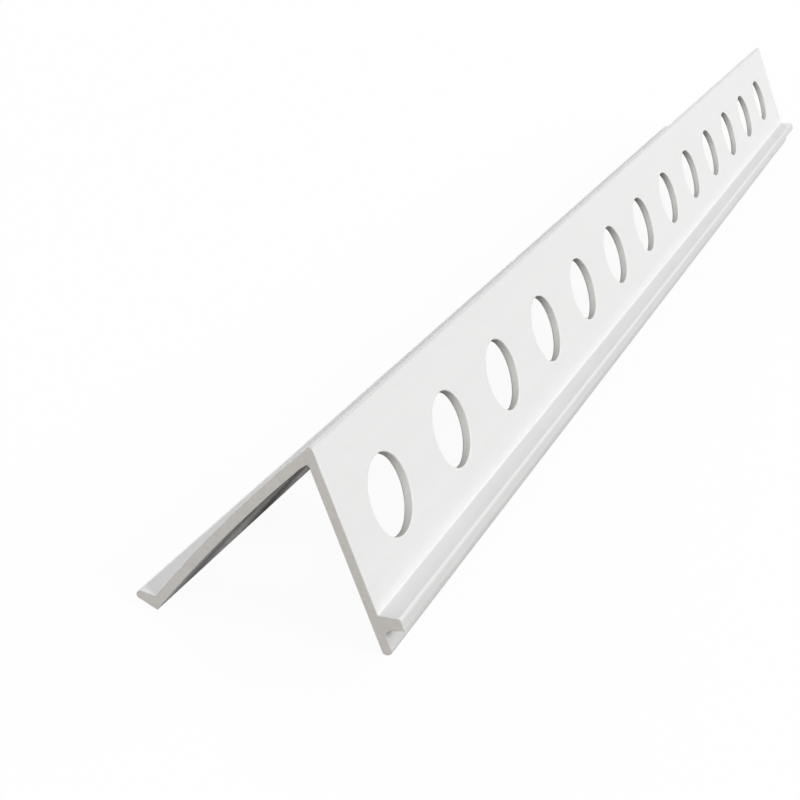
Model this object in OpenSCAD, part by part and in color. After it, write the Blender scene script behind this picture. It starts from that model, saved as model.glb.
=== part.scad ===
// Drip corner bead: a rigid PVC angle extrusion for a stucco or render edge.
// One leg carries a row of punched key holes and a ground rib on its outer face.
// The other leg is plain, slightly crowned, and ends in an upturned drip lip.
// The bead stands on its two tips like a tent, corner up, with its length along Y.

/* [Stock] */
// Length of the piece
length = 256; // [60:1:3000]
// Wall of both legs
wall = 1.2; // [1.1:0.1:3]
// Angle between the two legs
corner_angle = 63.5; // [50:0.5:100]
// Rounding of the outer corner between the legs
corner_r = 0.4; // [0.3:0.1:2]

/* [Holed leg] */
// Width of the holed leg, from the sharp outer corner to its tip
holed_leg = 24.4; // [18:0.1:60]
// Rounding of the holed leg's tip, on each side of the wall
tip_r = 0.5; // [0.1:0.05:0.55]

/* [Key holes] */
// Diameter of the punched holes
hole_d = 9.5; // [3:0.1:12]
// Distance from hole to hole
hole_pitch = 19.05; // [14:0.05:60]
// Distance from the near end to the first hole's centre
first_hole = 11.5; // [8:0.5:60]

/* [Ground rib] */
// Distance from the leg's tip up to the underside of the rib
rib_setback = 2.8; // [1.5:0.1:6]
// How far the rib stands out from the leg
rib_out = 2.4; // [1:0.05:5]
// Width of the rib's outer flat
rib_flat = 1.5; // [0.8:0.05:4]
// How far the rib's faces fall towards the tip as they run outwards, in degrees
rib_fall = 18; // [0:1:25]

/* [Plain leg] */
// Width of the plain leg, from the sharp outer corner to its tip
plain_leg = 31.2; // [20:0.1:60]
// How far the plain leg bulges outwards between its two edges
crown = 0.6; // [0:0.05:1]
// How far the lip stands out from the leg
lip_out = 1.9; // [0.8:0.05:4]
// Thickness of the lip where it leaves the leg
lip_root = 1.7; // [1:0.05:3]
// Thickness of the lip at its top
lip_top = 1.2; // [0.8:0.05:1.5]
// How far the lip leans past the leg's tip, in degrees
lip_lean = 18; // [0:1:30]

/* [Hidden] */

// Steps in one rounded corner, and along the crown of the plain leg
corner_steps = 6;
crown_steps = 12;
// Small roundings left by the die
die_r = 0.25;
sharp_r = 0.12;
root_r = 0.6;
// Least land between the last hole's rim and the far end
end_land = 3;
// How far a punch runs past both faces of the wall
punch_over = 1.5;

// Unit vectors down each leg and out of each leg's outer face, before the bead is stood up
function down_holed() = [0, -1];
function out_holed() = [1, 0];
function down_plain() = [-sin(corner_angle), -cos(corner_angle)];
function out_plain() = [-cos(corner_angle), sin(corner_angle)];

// A point on each leg: how far down from the outer corner, and how far out of its outer face
function on_holed(down, out) = down * down_holed() + out * out_holed();
function bulge(down) = crown * (1 - pow(2 * down / plain_leg - 1, 2));
function on_plain(down, out) =
    down * down_plain() + (out + max(0, bulge(down))) * out_plain();

// Centre of the arc that rounds corner p between neighbours a and b
function toward(p, q) = (q - p) / norm(q - p);
function half_angle(a, p, b) = acos(toward(p, a) * toward(p, b)) / 2;
function arc_centre(a, p, b, r) =
    let (way = toward(p, a) + toward(p, b))
    p + way / norm(way) * r / sin(half_angle(a, p, b));

// The points of that arc, from the side of a to the side of b
function arc_points(a, p, b, r) =
    let (
        c = arc_centre(a, p, b, r),
        start = p + toward(p, a) * r / tan(half_angle(a, p, b)) - c,
        end = p + toward(p, b) * r / tan(half_angle(a, p, b)) - c,
        turn = atan2(start.x * end.y - start.y * end.x, start * end)
    )
    [for (i = [0 : corner_steps])
        let (t = turn * i / corner_steps)
        c + [start.x * cos(t) - start.y * sin(t), start.x * sin(t) + start.y * cos(t)]];

// An outline from a list of [point, rounding]
function rounded(corners) =
    let (n = len(corners))
    [for (i = [0 : n - 1])
        let (a = corners[(i + n - 1) % n][0], p = corners[i][0], b = corners[(i + 1) % n][0])
        each (corners[i][1] > 0 ? arc_points(a, p, b, corners[i][1]) : [p])];

// Corners of the rib, from its upper root round to the root underneath.
// The underside falls half as steeply as the top, so the rib is thinner at its outer flat.
rib_slant = rib_out * tan(rib_fall);
rib_under = holed_leg - rib_setback;
rib_edge = rib_under + rib_slant / 2;
rib_top = rib_edge - rib_flat - rib_slant;
rib_corners = [
    [on_holed(rib_top, 0), die_r],
    [on_holed(rib_edge - rib_flat, rib_out), die_r],
    [on_holed(rib_edge, rib_out), sharp_r],
    [on_holed(rib_under, 0), root_r]
];

// Corners of the plain leg's tip and lip, from inside the leg to the lip's inner root
lip_slant = lip_out * tan(lip_lean);
lip_foot = plain_leg - lip_root;
tip_fall = wall * tan(lip_lean);
plain_tip = on_plain(plain_leg - tip_fall, -wall);
lip_edge = on_plain(plain_leg, 0) + lip_out * out_plain() + lip_slant * down_plain();
lip_edge_r = 0.4 * lip_top;
lip_inner_r = 0.3 * lip_top;
lip_corners = [
    [plain_tip, sharp_r],
    [lip_edge, lip_edge_r],
    [lip_edge - lip_top * down_plain(), lip_inner_r],
    [on_plain(lip_foot, 0), sharp_r]
];

// The inner corner, as far down each leg as the wall puts it, and the run of the outer rounding
inner_drop = wall / tan(corner_angle / 2);
corner_run = corner_r / tan(corner_angle / 2);

// Points between the corners that bend the plain leg to its crown
function crown_points(from, to, out) =
    [for (i = [1 : crown_steps - 1])
        [on_plain(from + (to - from) * i / crown_steps, out), 0]];

inner_crown = crown_points(inner_drop, plain_leg - tip_fall, -wall);
section = rounded(concat(
    [[on_holed(0, 0), corner_r]],
    rib_corners,
    [[on_holed(holed_leg, 0), tip_r], [on_holed(holed_leg, -wall), tip_r]],
    [[on_holed(inner_drop, -wall), die_r]],
    inner_crown,
    lip_corners,
    crown_points(lip_foot, corner_run, 0)
));

// Turn that brings both rounded tips down to one level floor
holed_foot = on_holed(holed_leg - tip_r, tip_r - wall);
plain_foot = arc_centre(inner_crown[len(inner_crown) - 1][0], plain_tip, lip_edge, sharp_r);
span = holed_foot - plain_foot;
tilt = asin((tip_r - sharp_r) / norm(span)) - atan2(span.y, span.x);

function turned(p) = [p.x * cos(tilt) - p.y * sin(tilt), p.x * sin(tilt) + p.y * cos(tilt)];
standing = [for (p = section) turned(p)];
mid_x = (min([for (p = standing) p.x]) + max([for (p = standing) p.x])) / 2;
floor_z = min([for (p = standing) p.y]);
outline = [for (p = standing) p - [mid_x, floor_z]];

// The holes run down the middle of the flat between the inner corner and the rib
hole_drop = (inner_drop + rib_top) / 2;
hole_count = floor((length - first_hole - hole_d / 2 - end_land) / hole_pitch) + 1;
hole_at = turned(on_holed(hole_drop, -wall / 2)) - [mid_x, floor_z];

// One punched hole, square to the holed leg
module key_hole(y) {
    translate([hole_at.x, y, hole_at.y])
        rotate([0, 90 - tilt, 0])
            cylinder(d = hole_d, h = wall + 2 * punch_over, center = true, $fn = 64);
}

// The whole bead: one extruded length, punched along the holed leg
module bead() {
    color([0.93, 0.93, 0.92])
        difference() {
            translate([0, length / 2, 0])
                rotate([90, 0, 0])
                    linear_extrude(length)
                        polygon(outline);
            for (i = [0 : hole_count - 1])
                key_hole(first_hole - length / 2 + i * hole_pitch);
        }
}

bead();
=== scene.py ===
# %% [markdown]
# # A drip corner bead in rigid PVC
# The real object is one length of white plastic extrusion. A die gives it one section from end to
# end, a press punches a row of round holes along one leg, and a saw cuts it to length. The scene
# follows those three steps. It loads the CAD part as a fixed frame, draws the section, makes a
# material for each kind of surface, and then pulls and punches the bead with Geometry Nodes.

# %% Open the frame
import math

import bpy
import numpy as np
from mathutils import Matrix, Vector


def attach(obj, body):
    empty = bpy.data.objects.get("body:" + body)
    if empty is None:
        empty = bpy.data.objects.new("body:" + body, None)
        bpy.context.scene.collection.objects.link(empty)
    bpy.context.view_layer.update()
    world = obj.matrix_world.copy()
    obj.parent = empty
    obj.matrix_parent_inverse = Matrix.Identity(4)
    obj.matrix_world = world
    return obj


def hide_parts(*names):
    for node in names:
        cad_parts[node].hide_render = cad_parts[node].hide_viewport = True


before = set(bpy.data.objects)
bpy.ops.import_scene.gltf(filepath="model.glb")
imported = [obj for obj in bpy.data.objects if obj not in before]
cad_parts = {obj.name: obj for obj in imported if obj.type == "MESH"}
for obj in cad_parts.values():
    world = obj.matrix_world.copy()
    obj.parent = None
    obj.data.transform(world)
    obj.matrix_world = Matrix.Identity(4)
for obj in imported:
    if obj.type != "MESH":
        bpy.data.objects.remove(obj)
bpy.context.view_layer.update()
MM = 0.001

# %% [markdown]
# ## The camera
# The bead was photographed from a little above and from its right, close to the near end, so its
# length runs away strongly. A camera can be placed by hand and nudged, or worked out from things
# whose size and place are known. Here the row of equal holes and the outlines of the section gave
# the place, the direction and the focal length, so the camera is set from those numbers once.

# %% Place the camera
CAMERA_PLACE = Vector((69.5, -252.8, 84.8)) * MM
CAMERA_LOOK = Vector((-0.3617, 0.8522, -0.3780))
CAMERA_ROLL = math.radians(-1.58)
SENSOR_WIDTH = 36.0
FOCAL_PER_WIDTH = 1.8775
CLIP_START = 0.01


def placed_facing(thing, place, look, roll=0.0):
    """Puts a camera or a lamp at a place, looking along a direction, turned about it by the roll."""
    facing = look.to_track_quat("-Z", "Y").to_matrix().to_4x4() @ Matrix.Rotation(roll, 4, "Z")
    thing.matrix_world = Matrix.Translation(place) @ facing
    bpy.context.scene.collection.objects.link(thing)


camera = bpy.data.objects.new("camera", bpy.data.cameras.new("camera"))
camera.data.sensor_width = SENSOR_WIDTH
camera.data.lens = SENSOR_WIDTH * FOCAL_PER_WIDTH
camera.data.clip_start = CLIP_START
placed_facing(camera, CAMERA_PLACE, CAMERA_LOOK, CAMERA_ROLL)
bpy.context.scene.camera = camera
print("lens", round(camera.data.lens, 2), "mm")

# %% [markdown]
# ## The section
# An extrusion is one drawing pulled straight. Its section could be traced by eye with a Bezier
# curve, but a die drawing is made of widths, angles and roundings, so a short function that rounds
# the corners of a polygon states it exactly and keeps every size editable. Sizes are in
# millimetres until the node tree scales the finished bead. They are those of the CAD part, apart
# from the rounding of the rib's upper edge, RIB_R. It is broader here, so that it catches as wide
# a line of light as the real one.

# %% Sizes of the extrusion
LENGTH = 256.0
WALL = 1.2
CORNER_ANGLE = math.radians(63.5)
CORNER_R = 0.4
HOLED_LEG = 24.4
TIP_R = 0.5
RIB_SETBACK = 2.8
RIB_OUT = 2.4
RIB_FLAT = 1.5
RIB_FALL = math.radians(18)
PLAIN_LEG = 31.2
CROWN = 0.6
LIP_OUT = 1.9
LIP_ROOT = 1.7
LIP_TOP = 1.2
LIP_LEAN = math.radians(18)
DIE_R = 0.25
RIB_R = 0.4
SHARP_R = 0.12
ROOT_R = 0.6
LIP_EDGE_R = 0.4 * LIP_TOP
LIP_INNER_R = 0.3 * LIP_TOP
print("legs of", HOLED_LEG, "and", PLAIN_LEG, "mm in a wall of", WALL, "mm")

# %% Points on the two legs
DOWN_PLAIN = np.array([-math.sin(CORNER_ANGLE), -math.cos(CORNER_ANGLE)])
OUT_PLAIN = np.array([-math.cos(CORNER_ANGLE), math.sin(CORNER_ANGLE)])


def on_holed(down, out):
    """A point of the holed leg: how far down from the sharp corner, how far out of its outer face."""
    return np.array([out, -down])


def on_plain(down, out):
    """The same on the plain leg, which bulges outwards between its edges."""
    bulge = max(0.0, CROWN * (1 - (2 * down / PLAIN_LEG - 1) ** 2))
    return down * DOWN_PLAIN + (out + bulge) * OUT_PLAIN


# %% Places that follow from the sizes
rib_slant = RIB_OUT * math.tan(RIB_FALL)
rib_under = HOLED_LEG - RIB_SETBACK
rib_edge = rib_under + rib_slant / 2
rib_top = rib_edge - RIB_FLAT - rib_slant
inner_drop = WALL / math.tan(CORNER_ANGLE / 2)
corner_run = CORNER_R / math.tan(CORNER_ANGLE / 2)
tip_fall = WALL * math.tan(LIP_LEAN)
lip_foot = PLAIN_LEG - LIP_ROOT
lip_slant = LIP_OUT * math.tan(LIP_LEAN)
plain_tip = on_plain(PLAIN_LEG - tip_fall, -WALL)
lip_edge = on_plain(PLAIN_LEG, 0) + LIP_OUT * OUT_PLAIN + lip_slant * DOWN_PLAIN
print("the rib leaves the leg", round(rib_top, 2), "to", round(rib_under, 2), "mm below the corner")

# %% Round one corner, and bend a face to its crown
ARC_STEPS = 12
CROWN_STEPS = 24


def rounding(before, corner, after, radius):
    """The points of the arc that rounds one corner, and the arc's centre."""
    to_before = (before - corner) / np.linalg.norm(before - corner)
    to_after = (after - corner) / np.linalg.norm(after - corner)
    half = math.acos(to_before @ to_after) / 2
    middle = to_before + to_after
    centre = corner + middle / np.linalg.norm(middle) * radius / math.sin(half)
    start = corner + to_before * radius / math.tan(half) - centre
    end = corner + to_after * radius / math.tan(half) - centre
    sweep = math.atan2(start[0] * end[1] - start[1] * end[0], start @ end)
    angles = np.linspace(0, sweep, ARC_STEPS + 1)
    x = start[0] * np.cos(angles) - start[1] * np.sin(angles)
    y = start[0] * np.sin(angles) + start[1] * np.cos(angles)
    return centre + np.stack([x, y], 1), centre


def crown_points(start, stop, out):
    """Points that bend a face of the plain leg to its crown."""
    return [(on_plain(down, out), 0) for down in np.linspace(start, stop, CROWN_STEPS + 1)[1:-1]]


# %% Draw the section
corners = [
    (on_holed(0, 0), CORNER_R),
    (on_holed(rib_top, 0), DIE_R),
    (on_holed(rib_edge - RIB_FLAT, RIB_OUT), RIB_R),
    (on_holed(rib_edge, RIB_OUT), SHARP_R),
    (on_holed(rib_under, 0), ROOT_R),
    (on_holed(HOLED_LEG, 0), TIP_R),
    (on_holed(HOLED_LEG, -WALL), TIP_R),
    (on_holed(inner_drop, -WALL), DIE_R),
    *crown_points(inner_drop, PLAIN_LEG - tip_fall, -WALL),
    (plain_tip, SHARP_R),
    (lip_edge, LIP_EDGE_R),
    (lip_edge - LIP_TOP * DOWN_PLAIN, LIP_INNER_R),
    (on_plain(lip_foot, 0), SHARP_R),
    *crown_points(lip_foot, corner_run, 0),
]
drawn, centres = [], {}
for i, (corner, radius) in enumerate(corners):
    before, after = corners[i - 1][0], corners[(i + 1) % len(corners)][0]
    if radius:
        arc, centres[i] = rounding(before, corner, after, radius)
        drawn.extend(arc)
    else:
        drawn.append(corner)
drawn = np.array(drawn)
print(len(centres), "rounded corners, drawn with", len(drawn), "points in all")

# %% [markdown]
# The bead stands on its two tips like a tent. It could be turned by eye until both touch, but both
# tips are round, so the turn follows from the line between their centres and the difference of
# their radii.

# %% Stand the section on its two tips
plain_corner = next(i for i, (corner, _) in enumerate(corners) if corner is plain_tip)
holed_foot = on_holed(HOLED_LEG - TIP_R, TIP_R - WALL)
span = holed_foot - centres[plain_corner]
tilt = math.asin((TIP_R - SHARP_R) / np.linalg.norm(span)) - math.atan2(span[1], span[0])
stand_turn = np.array([[math.cos(tilt), -math.sin(tilt)], [math.sin(tilt), math.cos(tilt)]])
standing = drawn @ stand_turn.T
stand_shift = np.array([(standing[:, 0].min() + standing[:, 0].max()) / 2, standing[:, 1].min()])
outline = standing - stand_shift


def stood(point):
    """Where a point of the drawing lies once the bead stands."""
    return stand_turn @ point - stand_shift


print("section", np.round(np.ptp(outline, 0), 3), "mm, tilt", round(math.degrees(tilt), 2), "degrees")

# %% [markdown]
# ## Which way each point of the outline moves inwards
# A sawn or punched edge is never a perfect knife edge, and a rendered one looks false without the
# thin line of light that a small break catches. The Bevel modifier could make it, but it stumbles
# where a cut meets narrow faces. Here every outline point carries the direction that offsets its
# two neighbouring sides by the same amount, so the node tree can draw the section in at its ends.

# %% Make the section face
ahead = np.roll(outline, -1, 0) - outline
ahead /= np.linalg.norm(ahead, axis=1)[:, None]
side_inward = np.stack([ahead[:, 1], -ahead[:, 0]], 1)
inward = side_inward + np.roll(side_inward, 1, 0)
inward /= (1 + np.sum(side_inward * np.roll(side_inward, 1, 0), axis=1))[:, None]

section_mesh = bpy.data.meshes.new("section")
section_mesh.from_pydata([(x, -LENGTH / 2, z) for x, z in outline], [], [range(len(outline))])
inward_attribute = section_mesh.attributes.new("inward", "FLOAT_VECTOR", "POINT")
inward_attribute.data.foreach_set("vector", [c for x, z in inward for c in (x, 0.0, z)])
section_mesh.update()
bead = bpy.data.objects.new("drip_bead", section_mesh)
bpy.context.scene.collection.objects.link(bead)
print("section face looks along Y", round(section_mesh.polygons[0].normal.y, 3))

# %% [markdown]
# ## Materials: what they share
# All of the bead is one white PVC, but each tool leaves its own surface on it: the die a satin
# skin with faint lines along the length, the saw a matt face with fine strokes, and the punch a
# wall that is dragged along the stroke. Each is a separate node material. They all start from
# Object coordinates turned into millimetres, so a scale can be read as "so many per millimetre".
# A material lists its noises by name, and the same names say how deep each one cuts.

# %% Helpers for node trees
def put(tree, kind, inputs=None, **settings):
    """Adds one node. An input is a value, or the socket that feeds it."""
    node = tree.nodes.new(kind)
    for name, value in settings.items():
        setattr(node, name, value)
    for key, value in (inputs or {}).items():
        if isinstance(value, bpy.types.NodeSocket):
            tree.links.new(value, node.inputs[key])
        else:
            node.inputs[key].default_value = value
    return node


def calculated(tree, operation, first, second=0.0, **settings):
    """The result of one Math node."""
    return put(tree, "ShaderNodeMath", {0: first, 1: second}, operation=operation, **settings).outputs[0]


def along(tree, arrow, direction):
    """How far an arrow reaches along a direction."""
    return put(tree, "ShaderNodeVectorMath", {0: arrow, 1: direction},
               operation="DOT_PRODUCT").outputs["Value"]


# %% Helpers for the finishes
def plastic(name, colour, roughness):
    """A new material with a plastic shader, and its coordinates in millimetres.

    Nodes take over the colour and the roughness later. Programs that can't read nodes show these.
    """
    material = bpy.data.materials.new(name)
    material.use_nodes = True
    tree = material.node_tree
    shader = tree.nodes["Principled BSDF"]
    shader.inputs["Base Color"].default_value = (*colour, 1)
    shader.inputs["Roughness"].default_value = roughness
    place = put(tree, "ShaderNodeTexCoord").outputs["Object"]
    in_mm = put(tree, "ShaderNodeVectorMath", {0: place, "Scale": 1 / MM}, operation="SCALE")
    return material, tree, shader, in_mm.outputs[0]


def grain(tree, place, scale, turn=(0, 0, 0), detail=2.0):
    """Noise with its own scale per millimetre along each axis, after a turn of the axes."""
    turned = put(tree, "ShaderNodeVectorRotate", {"Vector": place, "Rotation": turn},
                 rotation_type="EULER_XYZ", invert=True).outputs[0]
    stretched = put(tree, "ShaderNodeVectorMath", {0: turned, 1: scale}, operation="MULTIPLY").outputs[0]
    noise = put(tree, "ShaderNodeTexNoise", {"Vector": stretched, "Scale": 1.0, "Detail": detail})
    return noise.outputs["Fac"]


def spread(tree, value, low, high, start=0.3, stop=0.7):
    """Maps a range of a value, by default a noise's middle one, to the range from low to high."""
    mapped = put(tree, "ShaderNodeMapRange", {"Value": value, "From Min": start, "From Max": stop,
                                              "To Min": low, "To Max": high})
    return mapped.outputs["Result"]


def relief(tree, noises, depths):
    """Bumps of real depths in millimetres, one on top of the other."""
    surface = None
    for name, depth in depths.items():
        inputs = {"Height": noises[name], "Distance": depth * MM, "Strength": 1.0}
        if surface is not None:
            inputs["Normal"] = surface
        surface = put(tree, "ShaderNodeBump", inputs).outputs["Normal"]
    return surface


def blend_colour(tree, amount, first, second):
    """A colour between two, by an amount from 0 to 1."""
    mix = put(tree, "ShaderNodeMix", {0: amount}, data_type="RGBA")
    for key, colour in ((6, first), (7, second)):
        if isinstance(colour, bpy.types.NodeSocket):
            tree.links.new(colour, mix.inputs[key])
        else:
            mix.inputs[key].default_value = (*colour, 1)
    return mix.outputs[2]


def feed(tree, shader, colour, roughness, surface):
    """Links a material's colour, roughness and relief to its shader."""
    for key, value in (("Base Color", colour), ("Roughness", roughness), ("Normal", surface)):
        tree.links.new(value, shader.inputs[key])


# %% [markdown]
# ## The extruded skin
# Molten PVC leaves the die with a satin skin. Every nick in the die draws one faint line along the
# whole length, and the cooling bath leaves shallow waves. A brushed-metal trick does the lines:
# noise that is fine across the section and nearly constant along it. A photo texture would tile
# and smear on a bar this long, while noise in Object coordinates runs on without a seam.

# %% The skin's noises and its own tone
SKIN = (0.86, 0.86, 0.86)
SKIN_SHADE = (0.83, 0.83, 0.83)
SKIN_SHINE = 0.3
SKIN_ROUGHNESS = (0.42, 0.54)
STREAK_SHARE = 0.45
CLOUD_SHARE = 0.4
SKIN_GRAIN = {
    "die lines": dict(scale=(2.6, 0.004, 2.6), detail=3.0),
    "fine lines": dict(scale=(11.0, 0.02, 11.0)),
    "waves": dict(scale=(0.16, 0.05, 0.16)),
    "peel": dict(scale=(2.2, 1.4, 2.2)),
    "streaks": dict(scale=(0.9, 0.006, 0.9)),
    "clouds": dict(scale=(0.07, 0.03, 0.07)),
    # this noise breaks up the painted shade on the corner and the rib
    "shade patches": dict(scale=(1.4, 0.12, 1.4), detail=4.0),
}
SKIN_DEPTHS = {"waves": 0.015, "die lines": 0.002, "fine lines": 0.0003, "peel": 0.001}
skin, tree, shader, place = plastic("extruded_pvc", SKIN, roughness=0.45)
shader.inputs["Specular IOR Level"].default_value = SKIN_SHINE
noises = {name: grain(tree, place, **settings) for name, settings in SKIN_GRAIN.items()}
streaks = spread(tree, noises["streaks"], 0.0, STREAK_SHARE)
clouds = spread(tree, noises["clouds"], 0.0, CLOUD_SHARE)
tone = calculated(tree, "ADD", streaks, clouds, use_clamp=True)
extruded_tone = blend_colour(tree, tone, SKIN, SKIN_SHADE)
print("skin noises:", ", ".join(noises))

# %% [markdown]
# The corner, the rib and the edge under it are painted a little greyer than the rest. This grey is
# painted shade: it dims the light that the rib throws back onto the face beside its root, the
# highlight along the rounded corner and the rib's outer flat. It fades out over the last few
# millimetres of the face above the rib, and a patchy noise breaks it up. It could be painted on as a
# mask, but it depends only on where a point lies in the section. How far it lies down the holed leg
# tells where the rib's zone starts, and its height tells how close it is to the corner.

# %% Paint shade on the corner and the rib, and finish the skin
# Painted shade: this grey dims the bounced light beside the rib's root, the corner's highlight and the
# rib's outer flat.
PAINTED_SHADE_GREY = (0.68, 0.68, 0.677)
SHADE_FADE = 4.5
SHADE_AT_ROOT = 0.45
SHADE_EDGE = 0.3
SHADE_AT_CORNER = 1.0
CORNER_SHADE_START = 0.35
CORNER_SHADE_FULL = 0.1
PATCHY_SHADE_LEAST = 0.75
down_leg = stand_turn @ on_holed(1, 0)
shade_start = float(stood(on_holed(rib_top, 0)) @ down_leg)
flat_start = shade_start + rib_slant + RIB_R / 2
crest = float(outline[:, 1].max())
down = along(tree, place, (down_leg[0], 0.0, down_leg[1]))
height = put(tree, "ShaderNodeSeparateXYZ", {0: place}).outputs["Z"]
fading = spread(tree, down, 0.0, SHADE_AT_ROOT, shade_start - SHADE_FADE, shade_start)
on_rib = spread(tree, down, 0.0, 1.0, flat_start, flat_start + SHADE_EDGE)
on_corner = spread(tree, height, 0.0, SHADE_AT_CORNER, crest - CORNER_SHADE_START, crest - CORNER_SHADE_FULL)
zone = calculated(tree, "MAXIMUM", calculated(tree, "MAXIMUM", fading, on_rib), on_corner)
painted_shade = calculated(tree, "MULTIPLY", zone, spread(tree, noises["shade patches"], PATCHY_SHADE_LEAST, 1.0))
feed(tree, shader, blend_colour(tree, painted_shade, extruded_tone, PAINTED_SHADE_GREY),
     spread(tree, noises["peel"], *SKIN_ROUGHNESS), relief(tree, noises, SKIN_DEPTHS))
print("skin nodes", len(tree.nodes), "rubbed from", round(rib_top - SHADE_FADE, 1), "mm below the corner")

# %% [markdown]
# ## The sawn ends
# A fine circular saw leaves a matt face, warmer and greyer than the skin, with close shallow
# strokes across the section and blotches where the plastic smeared instead of cutting. The strokes
# could be modelled, but they are far too shallow to show in an outline. They are noise again,
# stretched this time along the blade's travel, with a slower swell over them for the teeth that
# cut deeper. Another noise, about a blotch to each millimetre, shifts the colour.

# %% Finish the sawn ends
SAWN = (0.85, 0.825, 0.78)
SAWN_SHADE = (0.74, 0.715, 0.67)
SAWN_ROUGHNESS = (0.55, 0.72)
STROKE_SHARE = 0.45
BLOTCH_SHARE = 0.6
BLADE_TRAVEL = (0.0, math.radians(8), 0.0)
SAWN_GRAIN = {
    "strokes": dict(scale=(0.35, 1.0, 9.0), turn=BLADE_TRAVEL, detail=3.0),
    "deep teeth": dict(scale=(0.1, 1.0, 1.1), turn=BLADE_TRAVEL),
    "blotches": dict(scale=(1.1, 1.0, 1.3), detail=4.0),
    "crumbs": dict(scale=(9.0, 9.0, 9.0)),
}
SAWN_DEPTHS = {"deep teeth": 0.02, "strokes": 0.008, "crumbs": 0.004}
sawn, tree, shader, place = plastic("sawn_pvc", SAWN, roughness=0.6)
noises = {name: grain(tree, place, **settings) for name, settings in SAWN_GRAIN.items()}
strokes = spread(tree, noises["strokes"], 0.0, STROKE_SHARE)
blotches = spread(tree, noises["blotches"], 0.0, BLOTCH_SHARE)
tone = calculated(tree, "ADD", strokes, blotches, use_clamp=True)
feed(tree, shader, blend_colour(tree, tone, SAWN, SAWN_SHADE),
     spread(tree, noises["crumbs"], *SAWN_ROUGHNESS), relief(tree, noises, SAWN_DEPTHS))
print("sawn nodes", len(tree.nodes))

# %% [markdown]
# ## The punched walls
# A punch shears the plastic. It burnishes the first part of the wall and drags fine lines along
# its stroke, square to the leg. Lines that follow the world's axes would run askew here, so the
# noise is turned with the leg first and then stretched along the stroke.

# %% Finish the punched walls
PUNCHED = (0.88, 0.87, 0.845)
PUNCHED_SHADE = (0.82, 0.81, 0.78)
PUNCHED_ROUGHNESS = (0.4, 0.58)
DRAG_SHARE = 0.8
PUNCHED_GRAIN = {"drags": dict(scale=(0.3, 8.0, 8.0), turn=(0.0, -tilt, 0.0), detail=3.0)}
PUNCHED_DEPTHS = {"drags": 0.01}
punched, tree, shader, place = plastic("punched_pvc", PUNCHED, roughness=0.45)
noises = {name: grain(tree, place, **settings) for name, settings in PUNCHED_GRAIN.items()}
tone = spread(tree, noises["drags"], 0.0, DRAG_SHARE)
feed(tree, shader, blend_colour(tree, tone, PUNCHED, PUNCHED_SHADE),
     spread(tree, noises["drags"], *PUNCHED_ROUGHNESS), relief(tree, noises, PUNCHED_DEPTHS))
print("punched nodes", len(tree.nodes))

# %% [markdown]
# ## Extrude, cut and punch with Geometry Nodes
# The bead's shape follows a rule, so a node tree makes it: the section is pulled along Y, and one
# cutter repeats along the leg at the punch's pitch. Modelling it by hand would mean thirteen
# separate cuts, while here the length, the hole size and the pitch are inputs of the tree.
#
# The tree's inputs come first. Each is a named socket, and the modifier's values are set by the
# socket's identifier, which stays the same when a name changes.

# %% Sizes of the edges and the holes
EDGE_BREAK = 0.1
PUNCH_ROLL = 0.15
BREAKOUT = 0.16
PUNCH_OVER = 1.0
HOLE_D = 9.5
HOLE_PITCH = 19.05
FIRST_HOLE = 11.5
END_LAND = 3.0
hole_drop = (inner_drop + rib_top) / 2
hole_count = int((LENGTH - FIRST_HOLE - HOLE_D / 2 - END_LAND) / HOLE_PITCH) + 1
hole_at = stood(on_holed(hole_drop, -WALL / 2))
print(hole_count, "holes, centred", np.round(hole_at, 3), "mm across and up")

# %% The tree's named inputs
SIZES = {
    "Length": LENGTH, "Edge break": EDGE_BREAK, "Wall": WALL, "Hole diameter": HOLE_D,
    "Hole pitch": HOLE_PITCH, "First hole": FIRST_HOLE, "Hole count": hole_count,
    "Hole across": float(hole_at[0]), "Hole height": float(hole_at[1]), "Leg turn": math.pi / 2 - tilt,
    "Punch roll": PUNCH_ROLL, "Breakout": BREAKOUT, "Punch over": PUNCH_OVER,
}
group = bpy.data.node_groups.new("punched_extrusion", "GeometryNodeTree")
group.interface.new_socket("Section", in_out="INPUT", socket_type="NodeSocketGeometry")
for name, value in SIZES.items():
    kind = "NodeSocketInt" if isinstance(value, int) else "NodeSocketFloat"
    group.interface.new_socket(name, in_out="INPUT", socket_type=kind)
group.interface.new_socket("Bead", in_out="OUTPUT", socket_type="NodeSocketGeometry")
given = put(group, "NodeGroupInput").outputs
print("named sizes:", ", ".join(SIZES))


# %% Arithmetic on the tree's sockets
def times(first, second):
    return calculated(group, "MULTIPLY", first, second)


def plus(first, second):
    return calculated(group, "ADD", first, second)


def minus(first, second):
    return calculated(group, "SUBTRACT", first, second)


def vector(x=0.0, y=0.0, z=0.0):
    return put(group, "ShaderNodeCombineXYZ", {"X": x, "Y": y, "Z": z}).outputs[0]


def stored(name, kind):
    """An attribute of the mesh, by its name."""
    return put(group, "GeometryNodeInputNamedAttribute", {"Name": name}, data_type=kind).outputs[0]


# %% [markdown]
# The section starts at the near end, drawn in by the edge break, and is extruded in seven steps:
# three short ones that open the broken edge out, the long run, and three that close it again. Each
# step moves only the newest face, which the Extrude node calls Top. The first face is flipped and
# joined back on as the near end.

# %% Steps of the pull
BREAK_ANGLES = [math.radians(a) for a in (0, 30, 60, 90)]
MERGE_WITHIN = 0.001
draw_in = [1 - math.sin(a) for a in BREAK_ANGLES]
run_in = [1 - math.cos(a) for a in BREAK_ANGLES]
steps = [(draw_in[i + 1] - draw_in[i], run_in[i + 1] - run_in[i]) for i in range(len(BREAK_ANGLES) - 1)]
edge_break = given["Edge break"]
inward_way = stored("inward", "FLOAT_VECTOR")


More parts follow.
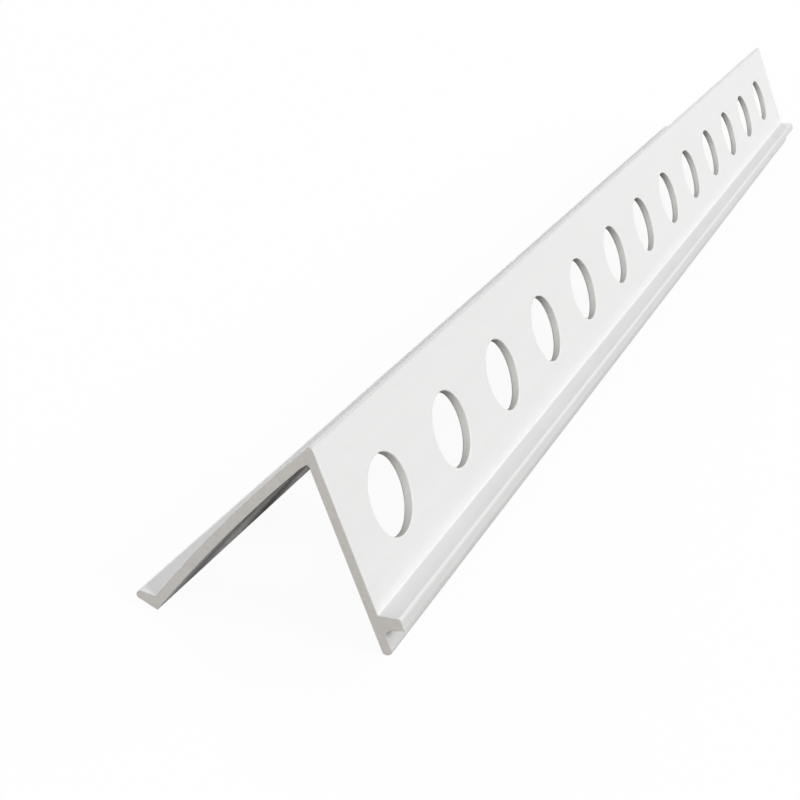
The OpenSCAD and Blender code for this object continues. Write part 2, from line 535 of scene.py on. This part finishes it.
def shifted(geometry, selection, inward_share):
    """Moves the selected points inwards by a share of the edge break."""
    offset = put(group, "ShaderNodeVectorMath", {0: inward_way, "Scale": times(edge_break, inward_share)},
                 operation="SCALE").outputs[0]
    inputs = {"Geometry": geometry, "Selection": selection, "Offset": offset}
    return put(group, "GeometryNodeSetPosition", inputs).outputs[0]


def pulled(geometry, selection, distance):
    """Extrudes the selected face along Y, and returns the new geometry and its newest face."""
    inputs = {"Mesh": geometry, "Selection": selection, "Offset": vector(y=distance),
              "Offset Scale": 1.0, "Individual": False}
    node = put(group, "GeometryNodeExtrudeMesh", inputs, mode="FACES")
    return node.outputs["Mesh"], node.outputs["Top"]


def merged(geometry):
    """Joins points that lie within a micron of each other."""
    inputs = {"Geometry": geometry, "Distance": MERGE_WITHIN}
    return put(group, "GeometryNodeMergeByDistance", inputs).outputs[0]


# %% Pull the section along Y
near_face = shifted(given["Section"], True, 1.0)
body, top = near_face, True
for inward_share, run in steps:
    body, top = pulled(body, top, times(edge_break, run))
    body = shifted(body, top, inward_share)
body, top = pulled(body, top, plus(given["Length"], times(edge_break, -2.0)))
for inward_share, run in reversed(steps):
    body, top = pulled(body, top, times(edge_break, run))
    body = shifted(body, top, -inward_share)
near_end = put(group, "GeometryNodeFlipFaces", {"Mesh": near_face}).outputs[0]
joined = put(group, "GeometryNodeJoinGeometry")
group.links.new(body, joined.inputs[0])
group.links.new(near_end, joined.inputs[0])
bar = merged(joined.outputs[0])
print("pulled in", 2 * len(steps) + 1, "steps")

# %% [markdown]
# The cutter is a cylinder whose rows are moved to the punch's profile. On the outer face the
# punch rolls the edge over before it shears, so the hole opens out a little there, and the
# break-out on the inner face leaves a smaller edge. The list of rows runs from the inside out,
# each with its height and its radius. No row lies exactly in a face of the leg, because a cut
# through a shared plane leaves slivers.

# %% The punch's profile
CLEAR_OF_FACE = 0.002
ROLL_ANGLES = [math.radians(a) for a in (0, 15, 30, 45, 60, 75)]
half_wall = times(given["Wall"], 0.5)
hole_r = times(given["Hole diameter"], 0.5)
inner_end = plus(half_wall, given["Punch over"])
past_face = plus(half_wall, CLEAR_OF_FACE)
roll, breakout = given["Punch roll"], given["Breakout"]
rows = [
    (times(inner_end, -1.0), plus(hole_r, breakout)),
    (times(past_face, -1.0), plus(hole_r, breakout)),
    (plus(times(half_wall, -1.0), breakout), hole_r),
]
for angle in ROLL_ANGLES:
    level = minus(half_wall, times(roll, 1 - math.sin(angle)))
    rows.append((level, plus(hole_r, times(roll, 1 - math.cos(angle)))))
rows.append((past_face, plus(hole_r, roll)))
rows.append((inner_end, plus(hole_r, roll)))
print("rim rolled over in", len(ROLL_ANGLES), "steps")

# %% Shape the punch
PUNCH_SIDES = 96
cylinder = put(group, "GeometryNodeMeshCylinder",
               {"Vertices": PUNCH_SIDES, "Side Segments": len(rows) - 1, "Radius": 1.0, "Depth": 1.0},
               fill_type="NGON").outputs["Mesh"]
at = put(group, "GeometryNodeInputPosition").outputs[0]
axes = put(group, "ShaderNodeSeparateXYZ", {0: at}).outputs
row = calculated(group, "ROUND", times(plus(axes["Z"], 0.5), float(len(rows) - 1)))


def by_row(values):
    """The value of this point's row."""
    switch = put(group, "GeometryNodeIndexSwitch", {"Index": row}, data_type="FLOAT")
    while len(switch.index_switch_items) < len(values):
        switch.index_switch_items.new()
    for i, value in enumerate(values):
        group.links.new(value, switch.inputs[i + 1])
    return switch.outputs[0]


row_r = by_row([radius for _, radius in rows])
row_z = by_row([level for level, _ in rows])
profile = vector(times(axes["X"], row_r), times(axes["Y"], row_r), row_z)
punch = put(group, "GeometryNodeSetPosition", {"Geometry": cylinder, "Position": profile}).outputs[0]
punch = put(group, "GeometryNodeStoreNamedAttribute", {"Geometry": punch, "Name": "punched", "Value": True},
            data_type="BOOLEAN", domain="FACE").outputs[0]
print("the punch has", len(rows), "rows and", PUNCH_SIDES, "sides")

# %% [markdown]
# A line of points carries one punch each, turned square to the leg. The Mesh Boolean node takes
# them all out of the bar at once, and points closer than a micron are merged.

# %% Repeat the punch and cut
first_y = plus(given["First hole"], times(given["Length"], -0.5))
start = vector(given["Hole across"], first_y, given["Hole height"])
line = put(group, "GeometryNodeMeshLine",
           {"Count": given["Hole count"], "Start Location": start, "Offset": vector(y=given["Hole pitch"])},
           mode="OFFSET").outputs[0]
square_on = put(group, "FunctionNodeEulerToRotation", {0: vector(y=given["Leg turn"])}).outputs[0]
punches = put(group, "GeometryNodeInstanceOnPoints",
              {"Points": line, "Instance": punch, "Rotation": square_on}).outputs[0]
cutters = put(group, "GeometryNodeRealizeInstances", {"Geometry": punches}).outputs[0]
cut = put(group, "GeometryNodeMeshBoolean", {"Mesh 1": bar, "Mesh 2": cutters},
          operation="DIFFERENCE", solver="EXACT").outputs["Mesh"]
clean = merged(cut)
print("nodes so far", len(group.nodes))

# %% [markdown]
# Smooth shading blends the normals of faces that share a point. A large flat face would be smeared
# by the roundings along its edges, so the flat faces are shaded flat, and everything else smooth
# except across edges that bend more than 30 degrees. The flat ones are known by their normals: out
# of the holed leg, or along the length.

# %% Shade the bead
SHARP_ANGLE = math.radians(30)
FLAT_SHARE = 0.9999
face_normal = put(group, "GeometryNodeInputNormal").outputs[0]


def looks_along(direction):
    """1 on the faces whose normal lies along a direction, either way, and 0 on the others."""
    share = calculated(group, "ABSOLUTE", along(group, face_normal, direction))
    return calculated(group, "GREATER_THAN", share, FLAT_SHARE)


def smoothed(geometry, where, domain):
    """Shades faces smooth, or lets edges stay smooth, where a field is 1."""
    return put(group, "GeometryNodeSetShadeSmooth", {"Geometry": geometry, "Shade Smooth": where},
               domain=domain).outputs[0]


out_of_leg = stand_turn @ on_holed(0, 1)
flat = plus(looks_along((out_of_leg[0], 0.0, out_of_leg[1])), looks_along((0.0, 1.0, 0.0)))
bend = put(group, "GeometryNodeInputMeshEdgeAngle").outputs[0]
smooth = smoothed(clean, minus(1.0, flat), "FACE")
smooth = smoothed(smooth, calculated(group, "LESS_THAN", bend, SHARP_ANGLE), "EDGE")
print("flat faces look along X", round(out_of_leg[0], 3), "and Z", round(out_of_leg[1], 3), "or along Y")

# %% [markdown]
# Programs split a face with many corners each in their own way, so the tree does it itself, and
# scales the bead to metres. It ends by laying the materials on: the skin everywhere, the sawn
# finish on the faces that look mostly along Y, and the punched finish on the faces that came from
# the punch.

# %% Lay the materials on
MOST_SIDES = 4.0
END_SHARE = 0.9
sides = put(group, "GeometryNodeCornersOfFace").outputs["Total"]
many_sided = calculated(group, "GREATER_THAN", sides, MOST_SIDES)
split = put(group, "GeometryNodeTriangulate", {"Mesh": smooth, "Selection": many_sided}).outputs[0]
scaled = put(group, "GeometryNodeTransform", {"Geometry": split, "Scale": (MM, MM, MM)}).outputs[0]
face_y = put(group, "ShaderNodeSeparateXYZ", {0: face_normal}).outputs["Y"]
ends = calculated(group, "GREATER_THAN", calculated(group, "ABSOLUTE", face_y), END_SHARE)
whole = put(group, "GeometryNodeRealizeInstances", {"Geometry": scaled}).outputs[0]
for material, where in ((skin, True), (sawn, ends), (punched, stored("punched", "BOOLEAN"))):
    inputs = {"Geometry": whole, "Selection": where, "Material": material}
    whole = put(group, "GeometryNodeSetMaterial", inputs).outputs[0]
group.links.new(whole, put(group, "NodeGroupOutput").inputs[0])
print("the tree has", len(group.nodes), "nodes")

# %% [markdown]
# A modifier runs the tree on the section face. Left live, it would run again in every program that
# opens the scene. The result is copied out as a plain mesh instead, and the modifier goes.

# %% Copy the result out as a plain mesh
section_mesh.materials.append(skin)
modifier = bead.modifiers.new("punched_extrusion", "NODES")
modifier.node_group = group
for item in group.interface.items_tree:
    if item.in_out == "INPUT" and item.name in SIZES:
        modifier[item.identifier] = SIZES[item.name]
evaluated = bead.evaluated_get(bpy.context.evaluated_depsgraph_get())
finished = bpy.data.meshes.new_from_object(evaluated)
bead.modifiers.remove(modifier)
bead.data = finished
finished.name = "drip_bead"
finished.calc_loop_triangles()
print("bead:", len(finished.vertices), "points,", len(finished.polygons), "faces,",
      len(finished.loop_triangles), "triangles")
for i, material in enumerate(finished.materials):
    face_count = sum(p.material_index == i for p in finished.polygons)
    print("slot", i, material and material.name, face_count, "faces")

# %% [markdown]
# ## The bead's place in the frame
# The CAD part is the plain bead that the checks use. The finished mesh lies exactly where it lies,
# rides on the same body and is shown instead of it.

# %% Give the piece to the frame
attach(bead, "root")
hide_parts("bead")
print(bead.name, "rides on root and stands for bead")

# %% [markdown]
# ## The floor
# The photo is a pale product shot on white. A brighter floor would give that, but it would also
# throw light into the bead's dark inside. Here the floor is white only for the rays that show it,
# and light bounces off a dark sheet. A mirrored or transmitted ray sees a white sheet with its
# real shading, so the inside of the bead reflects a shaded floor. The camera sees that sheet
# lifted to white, with a soft shadow left.

# %% Lay the floor
FLOOR_HALF = 6.0
floor_mesh = bpy.data.meshes.new("floor")
floor_mesh.from_pydata([(-FLOOR_HALF, -FLOOR_HALF, 0), (FLOOR_HALF, -FLOOR_HALF, 0),
                        (FLOOR_HALF, FLOOR_HALF, 0), (-FLOOR_HALF, FLOOR_HALF, 0)], [], [(0, 1, 2, 3)])
floor = bpy.data.objects.new("floor", floor_mesh)
bpy.context.scene.collection.objects.link(floor)
print("floor", 2 * FLOOR_HALF, "m square")

# %% Make the floor white only where it shows
FLOOR_COLOUR = (0.075, 0.066, 0.052, 1)
WHITE = (1, 1, 1, 1)
WHITE_SHARE = 0.95
floor_material = bpy.data.materials.new("pale_floor")
floor_material.use_nodes = True
floor_mesh.materials.append(floor_material)
tree = floor_material.node_tree
tree.nodes.remove(tree.nodes["Principled BSDF"])
sheet = put(tree, "ShaderNodeBsdfDiffuse", {"Color": FLOOR_COLOUR}).outputs[0]
bright_sheet = put(tree, "ShaderNodeBsdfDiffuse", {"Color": WHITE}).outputs[0]
glow = put(tree, "ShaderNodeEmission", {"Color": WHITE, "Strength": 1.0}).outputs[0]
seen = put(tree, "ShaderNodeMixShader", {0: WHITE_SHARE, 1: bright_sheet, 2: glow}).outputs[0]
path = put(tree, "ShaderNodeLightPath").outputs
mirrored = calculated(tree, "MAXIMUM", path["Is Glossy Ray"], path["Is Transmission Ray"])
shown = put(tree, "ShaderNodeMixShader", {0: mirrored, 1: sheet, 2: bright_sheet}).outputs[0]
shown = put(tree, "ShaderNodeMixShader", {0: path["Is Camera Ray"], 1: shown, 2: seen}).outputs[0]
tree.links.new(shown, tree.nodes["Material Output"].inputs["Surface"])
print("floor nodes", len(tree.nodes))

# %% [markdown]
# ## The lamps
# A studio lights a white product softly from several sides. One sheet of light overhead would be
# simpler, but each side of the bead needs its own level to show its form. The right lamp and the
# one behind it light the holed leg, the front one the sawn end and the walls of the holes, and the
# left one the plain leg. They are large and far away, so that the near and the far end get the
# same light. Each has its direction from the bead, its size in metres and its watts.

# %% Light the bead
AIM = Vector((0, 0, 0.01))
LAMP_AWAY = 3.0
LAMPS = {
    "right": ((1.0, -0.2, 0.55), 1.0, 41.0),
    "front": ((0.1, -1.0, 0.35), 0.8, 33.0),
    "behind_right": ((0.8, 0.9, 0.6), 1.6, 33.0),
    "behind_left": ((-0.9, 0.9, 0.7), 1.6, 40.0),
}
for name, (direction, size, watts) in LAMPS.items():
    where = LAMP_AWAY * Vector(direction).normalized()
    lamp = bpy.data.lights.new(name, "AREA")
    lamp.size, lamp.energy = size, watts
    placed_facing(bpy.data.objects.new(name, lamp), where, AIM - where)
    print("lamp", name, watts, "W")

# %% [markdown]
# ## The world
# The world softens the shadows and shows behind the floor. One white background could do both, but
# it would be far too strong a light. Light Path tells the rays apart: the camera, mirrored and
# transmitted rays see white, and the light that falls on the bead is much dimmer.

# %% Set the world
AMBIENT = 0.25
world = bpy.data.worlds.new("studio")
bpy.context.scene.world = world
world.use_nodes = True
tree = world.node_tree
around = tree.nodes["Background"]
around.inputs["Color"].default_value = WHITE
around.inputs["Strength"].default_value = AMBIENT
backdrop = put(tree, "ShaderNodeBackground", {"Color": WHITE, "Strength": 1.0}).outputs[0]
path = put(tree, "ShaderNodeLightPath").outputs
sight = calculated(tree, "MAXIMUM", path["Is Camera Ray"], path["Is Glossy Ray"])
sight = calculated(tree, "MAXIMUM", sight, path["Is Transmission Ray"])
shown = put(tree, "ShaderNodeMixShader", {0: sight, 1: around.outputs[0], 2: backdrop}).outputs[0]
tree.links.new(shown, tree.nodes["World Output"].inputs["Surface"])
bpy.context.scene.view_settings.view_transform = "Standard"
print("world light", AMBIENT)
